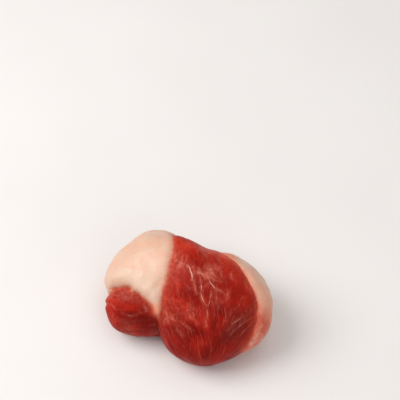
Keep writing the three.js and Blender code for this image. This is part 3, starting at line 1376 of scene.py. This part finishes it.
MAIN = Muscle(
    name="lean_main",
    node="muscle_main",
    slot="lean_main",
    lump=MAIN_LUMP,
    finish=LeanFinish(
        name="lean_main",
        deep=linear(106, 5, 3),
        bright=linear(172, 32, 16),
        vivid=linear(214, 64, 36),
        brown=linear(112, 34, 26),
        pale=linear(216, 120, 98),
    ),
    # Painted light and shade, partly the lean's own tone: lighter along the top rim and the upper left,
    # darker towards the bottom and the lower right.
    light=patches(
        (16, 28.5, 15, 4, -20, 1.8), (-1, 33, 10, 4, -28, 1.4), (-4, 20, 14, 7, 75, 0.5),
        (30, 13, 12, 5, -55, 0.4), (10, 23, 6, 4, -20, 0.5), (14.5, 16.5, 5, 6, 0, 0.35),
        (4, 4, 5, 9, 0, -0.6), (-9.5, 3, 6, 8, 0, 0.4), (-9, -2.5, 9, 3.5, -25, 0.8),
        (-10, -9.5, 5, 2.5, -30, -0.3), (1, -17, 10, 4, -35, -0.6), (-6, -19, 5, 3, 0, -0.4),
        (4.5, -24, 6, 4, 0, -0.4), (8, -13, 4, 4.5, 0, 0.7), (16, -24, 5, 4, 0, 0.5),
        (11.3, -17, 6, 1.6, 95, 0.7), (22, -9, 4, 5, 0, -0.8), (-9, -7, 3, 3, 0, 0.4),
        (22, -24, 9, 5, 30, -0.4), (23.6, -7, 6, 1.5, 92, 0.4), (31, -3, 9, 3, 0, 0.4),
        (36, -21, 7, 4, 55, -0.6),
    ),
    veil=patches(
        (8.5, 14.3, 6.5, 2, -27, 0.9), (13, 16.5, 5, 1.8, -60, 0.8), (18, 18, 4, 3, 0, 0.35),
        (-1, 18.5, 4, 2, -20, 0.5), (-6, 23, 2.5, 5, 0, 0.4), (-7, 18, 12, 5, 75, 0.25),
        (13, 10, 4, 6, -20, 0.3), (18.5, -3.5, 5, 3, 0, 0.25), (-9, -4, 8, 4, -25, 0.3),
        (2.5, -10, 4, 4, 0, 0.2), (15, 16, 6, 6, 0, 0.15), (-11, -12.5, 5, 2.6, 10, 0.45),
        (-5.5, -20, 6, 2, -50, 0.3),
    ),
    brown=patches((31, -15.5, 15, 4, 48, 0.7), (27, -20, 10, 5, 50, 0.3)),
    calm=patches((27, -2, 12, 14, 0, 0.5), (12, -2, 8, 10, 0, 0.25)),
    swells=patches(
        (0, -14, 9, 8, 0, 0.8), (14, -15, 7, 9, 0, -0.8), (28, -7, 8, 8, 0, 0.6), (12, 19, 8, 6, 0, -0.7),
        (-9, 12, 7, 12, 0, 0.6), (24, 24, 14, 3, -25, 0.7), (-7, 38, 5, 5, -25, 1.2),
        (5, 36, 9, 4, -25, -0.8), (-19, -18, 12, 4, 105, -2.2),
    ),
    creases=lined(
        Crease,
        (1.5, 0.5, (-17, -2), (-18, -9), (-16.5, -17), (-13, -24), (-8, -31)),
        (1.2, 0.35, (-11, -6), (-12.5, -13), (-11, -20), (-7, -27)),
        (1.5, 0.4, (-4, -6), (-3, -13), (0, -19), (4, -25)),
        (1.1, 0.35, (42, -10), (38, -14.5), (32, -19.5), (26.5, -25)),
        (1.0, 0.3, (39, -7.5), (34.5, -12.5), (30, -16.5), (24, -22.5)),
        (1.2, 0.35, (34, -2), (31.6, -7), (28.6, -12.6), (22, -24)),
        (1.8, 0.35, (19, 20), (20, 13), (22, 4), (20, -8), (17, -20)),
    ),
    threads=lined(
        Thread,
        (0.24, 0.8, (-6.6, 23.8), (-5.7, 21.3), (-2.9, 19.7), (-0.5, 19)),
        (0.66, 1.0, (-0.8, 19.2), (1.1, 18.2), (1.7, 15.7), (2.6, 13.3), (2.7, 10.5)),
        (0.22, 0.5, (3.8, 10.6), (3.9, 7.9), (4.7, 4.8), (5.3, 2.4)),
        (0.26, 1.0, (3.2, 16.9), (6.8, 14.8), (9.2, 13.6), (11.4, 12.7)),
        (0.38, 0.8, (11.4, 12.7), (12.9, 10.3), (13.8, 8.2), (15.9, 6), (17.4, 4.5), (20, 3.6)),
        (0.16, 0.5, (20.1, 3.6), (22.8, 1.5), (24.3, 0.4)),
        (0.2, 0.6, (6.2, 14.5), (7.4, 12.7), (7.7, 8.4)),
        (0.44, 0.7, (7.7, 9.7), (8.3, 6.3), (8, 2.4), (8.6, -0.2), (9.5, -2.3), (11, -5.3)),
        (0.24, 0.55, (11, -5.3), (11.5, -6.5), (11.8, -9.2), (11.5, -12.5), (11, -17.3)),
        (0.24, 0.5, (14.1, 4.8), (14.4, 2.7), (13.4, -0.5), (13.1, -3.5), (11.3, -6.2)),
        (0.18, 0.4, (17.4, 4.2), (17.5, 1.8), (17.4, -2.3)),
        (0.2, 0.55, (24.3, 3.7), (24.2, 1.2), (24, -0.6)),
        (0.24, 0.9, (11.4, 18.8), (12.3, 16.3), (13.2, 14.5), (14.4, 12.7)),
        (0.2, 0.6, (18.5, 24.8), (18.6, 23.7), (18.9, 22.4)),
        (0.22, 0.7, (9.3, 27.9), (11.1, 26), (11.9, 24.8)),
        (0.2, 0.7, (20.1, 15), (20.5, 14), (20.8, 12.9)),
        (0.22, 0.7, (26.2, 13.8), (26.5, 12.7), (26.9, 11.4)),
        (0.16, 0.5, (18.9, 12.9), (19.2, 11.3), (19.8, 9.2)),
        (0.12, 0.4, (15.3, 18.5), (16.6, 16.6), (17.4, 14.6)),
        (0.14, 0.4, (8.8, 16.4), (10.4, 14.2), (12.1, 11.4)),
        (0.2, 0.45, (0.2, -7.8), (1.4, -7.4), (2.6, -8.3), (4.4, -10.7), (3.5, -13.4)),
        (0.24, 0.5, (1.4, -10.5), (1.7, -12.2), (2.7, -13.3)),
        (0.18, 0.3, (4.1, -13.6), (4.7, -14.8), (5.4, -16)),
        (0.14, 0.4, (-5.6, -13.8), (-2.2, -16.5), (2.6, -19.7)),
        (0.12, 0.4, (0.2, -4.5), (3.2, -6.8), (5, -8.3)),
        (0.12, 0.4, (-8, -5.1), (-5.6, -6.9), (-3.4, -9.6)),
        (0.2, 1.0, (-15, -15.8), (-13.2, -12.7), (-10.7, -12.7), (-7.7, -13.8)),
        (0.16, 1.0, (-13.8, -8.4), (-12.6, -12.1), (-12, -15.1)),
        (0.16, 0.2, (43, -8), (39.8, -12.2), (34.2, -15), (29, -19.4), (25, -24)),
        (0.13, 0.15, (40, -14.6), (36, -19), (32, -23), (29, -27)),
        (0.1, 0.1, (42.5, -12.5), (38, -17.2), (33, -21.5), (27.5, -26)),
        (0.14, 0.25, (37, -7), (32.8, -12), (27.4, -15.8), (23, -21)),
        (0.12, 0.2, (33.5, -0.5), (30.5, -5.2), (26, -9.5), (23.5, -14)),
        (0.1, 0.2, (40.5, -4.5), (36.5, -10.5), (31, -14.5)),
    ),
)
SMALL = Muscle(
    name="lean_small",
    node="muscle_small",
    slot="lean_small",
    lump=SMALL_LUMP,
    finish=LeanFinish(
        name="lean_small",
        deep=linear(104, 5, 3),
        bright=linear(170, 32, 18),
        vivid=linear(206, 54, 32),
        brown=linear(112, 32, 24),
        pale=linear(212, 114, 94),
        bundles=0.7,
        fibres=0.5,
        strokes=0.12,
    ),
    # Painted light and shade, partly the lean's own tone: lighter on the left, darker towards the lower
    # right by the crease beside the big muscle.
    light=patches(
        (-35.5, -6.5, 6, 2.5, -5, 1.0), (-48, -3, 5, 5, 0, 0.8), (-31, -12, 7, 4, -10, -0.4),
        (-23, -17, 7, 6, -20, -0.4), (-47, -13, 4, 7, 20, 0.5),
    ),
    veil=patches(
        (-40, 1.5, 11, 4, -12, 0.4), (-38, -15, 8, 3, -10, 0.15), (-38, -21, 10, 3, -8, 0.3),
    ),
    brown=(),
    calm=patches((-34, -14, 10, 6, 0, 0.3)),
    swells=patches(
        (-52, 0, 4, 2.5, 0, 0.4), (-52, -4.8, 2.5, 1.5, 0, -1.3), (-43, -21, 8, 4, -35, 1.0),
        (-19, -25, 7, 5, 0, -2.4),
    ),
    creases=lined(
        Crease,
        (1.3, 0.35, (-41, -8), (-38, -11.5), (-33, -12), (-28.5, -9)),
        (1.5, 0.35, (-47, -11), (-42, -16), (-35, -17.5), (-28, -15)),
    ),
    threads=lined(
        Thread,
        (0.12, 0.35, (-40.8, -8.6), (-38.3, -10.7), (-35.2, -11.6), (-32.1, -11), (-29.6, -8.9)),
        (0.2, 0.6, (-37.4, -17.9), (-36.9, -19.8), (-35.9, -22.4)),
        (0.18, 0.5, (-47.3, -10.5), (-46.8, -13), (-45.5, -14.9)),
        (0.26, 0.8, (-27.4, -4.9), (-26.5, -6.4), (-25.5, -7.9)),
        (0.14, 0.4, (-48.6, -3.7), (-47.2, -4.9), (-45.3, -6.1)),
    ),
    bundles=Ripple(4.5, 12.0, 0.22),
    strands=Ripple(1.9, 17.0, 0.1),
    broad=Ripple(13.0, 21.0, 0.5),
)
FAT = FatLayer(
    bulges=patches(
        (-27, 3.8, 7, 3, -25, 1.0), (-45, 12, 6, 3, 0, 0.5), (-36, 32, 9, 6, 45, -0.9),
        (-21, 43, 10, 8, 0, -1.4), (-1, 40, 6, 5, -25, -3.0), (-53, 5, 4, 4, 0, -1.4),
    ),
    creases=lined(
        Crease,
        (1.7, 0.5, (-23.6, 0.7), (-21.1, 3.7), (-18.1, 7.3), (-16, 11.2)),
        (1.6, 0.3, (-50, 8.5), (-45, 9), (-40, 10)),
    ),
    # Peach tint of the fat. The patches with a negative amount are painted light: a lighter cream on the
    # bulge above the small muscle and on the rounded edge over its left end, and lighter along the crease
    # beside the bulge.
    peach=patches(
        (-19.5, -8.5, 5, 5, 0, 1.2), (-18.5, 3.5, 5, 2.2, 65, -0.35), (-44, 8, 9, 2.4, 0, 0.1),
        (-41, 12.5, 9, 4.5, 0, -0.4), (-28, 6, 8, 5, -20, -0.6), (48, -8, 22, 9, 90, 0.4),
        (26, 27, 6, 4, -20, 0.9),
    ),
    pink=patches(
        (-19, -10.5, 4, 4, 0, 0.7), (43, -22, 14, 9, 60, 1.1), (48, -14, 6, 4, 70, 0.25),
        (24, 28, 5, 3, -20, 0.4),
    ),
)


@dataclass(frozen=True)
class Softbox:
    """A large square lamp that shines at the chunk."""

    name: str
    place: Triple
    size: float
    power: float

    def build(self) -> None:
        """Adds the lamp to the scene."""
        lamp = bpy.data.lights.new(self.name, "AREA")
        lamp.size, lamp.energy = self.size, self.power
        holder = placed(bpy.data.objects.new(self.name, lamp))
        holder.location = self.place
        holder.rotation_euler = (-Vector(self.place)).to_track_quat("-Z", "Y").to_euler()


@dataclass(frozen=True)
class Studio:
    """A pale floor, soft light and the camera."""

    floor_side: float = 16.0
    floor_colour: Colour = linear(237, 233, 230)
    floor_cloud: Colour = linear(230, 225, 222)
    floor_roughness: float = 0.7
    air_light: float = 0.36
    lens: float = 91.8
    camera_place: Triple = (0.007771, -0.300114, 0.5975)
    camera_tilt: float = 33.0
    lamps: tuple[Softbox, ...] = (
        Softbox("window", (-0.85, 0.1, 1.0), 0.9, 13.0),
        Softbox("fill", (0.6, -1.1, 0.9), 1.2, 5.0),
        Softbox("ceiling", (0.3, 0.2, 1.7), 1.5, 6.0),
    )

    def build(self) -> None:
        """Builds the floor, the lamps, the air's light and the camera."""
        scene = bpy.context.scene
        scene.view_settings.view_transform = "Standard"
        self._floor()
        for lamp in self.lamps:
            lamp.build()
        scene.world = bpy.data.worlds.new("studio")
        scene.world.use_nodes = True
        air = scene.world.node_tree.nodes["Background"]
        air.inputs["Color"].default_value = (1.0, 1.0, 1.0, 1.0)
        air.inputs["Strength"].default_value = self.air_light
        view = bpy.data.cameras.new("view")
        view.lens = self.lens
        scene.camera = placed(bpy.data.objects.new("view", view))
        scene.camera.location = self.camera_place
        scene.camera.rotation_euler = (math.radians(self.camera_tilt), 0.0, 0.0)

    def _floor(self) -> None:
        """Lays the pale floor."""
        half = self.floor_side / MM / 2
        corners = ((-half, -half, 0.0), (half, -half, 0.0), (half, half, 0.0), (-half, half, 0.0))
        floor = new_piece("floor", np.array(corners), [(0, 1, 2, 3)])
        skin = Skin("floor")
        clouds = skin.noise(skin.place(), 9.0)
        shade = skin.blend(clouds, self.floor_colour, self.floor_cloud)
        material = skin.end({"Base Color": shade, "Roughness": self.floor_roughness})
        floor.data.materials.append(material)


def main() -> None:
    """Builds the chunk and the studio, piece by piece."""
    logging.basicConfig(level=logging.INFO, format="%(name)s: %(message)s")
    ball = Ball.of(Detail.FULL)
    effects = Effects()
    lean_main = MAIN.build(ball)
    lean_small = SMALL.build(ball)
    cut(lean_small, new_piece("crease", MAIN.skin(ball, 0.3), ball.faces))
    MAIN.dress(lean_main, effects)
    SMALL.dress(lean_small, effects)
    FAT.dress(FAT.build(ball, (MAIN, SMALL)), effects)
    tubes = ThreadWork.tree()
    pale = ThreadFinish().material(effects)
    ThreadWork(MAIN, 110, 5).build(tubes, pale)
    ThreadWork(SMALL, 14, 8).build(tubes, pale)
    Studio().build()
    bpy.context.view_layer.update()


if __name__ == "__main__":
    main()
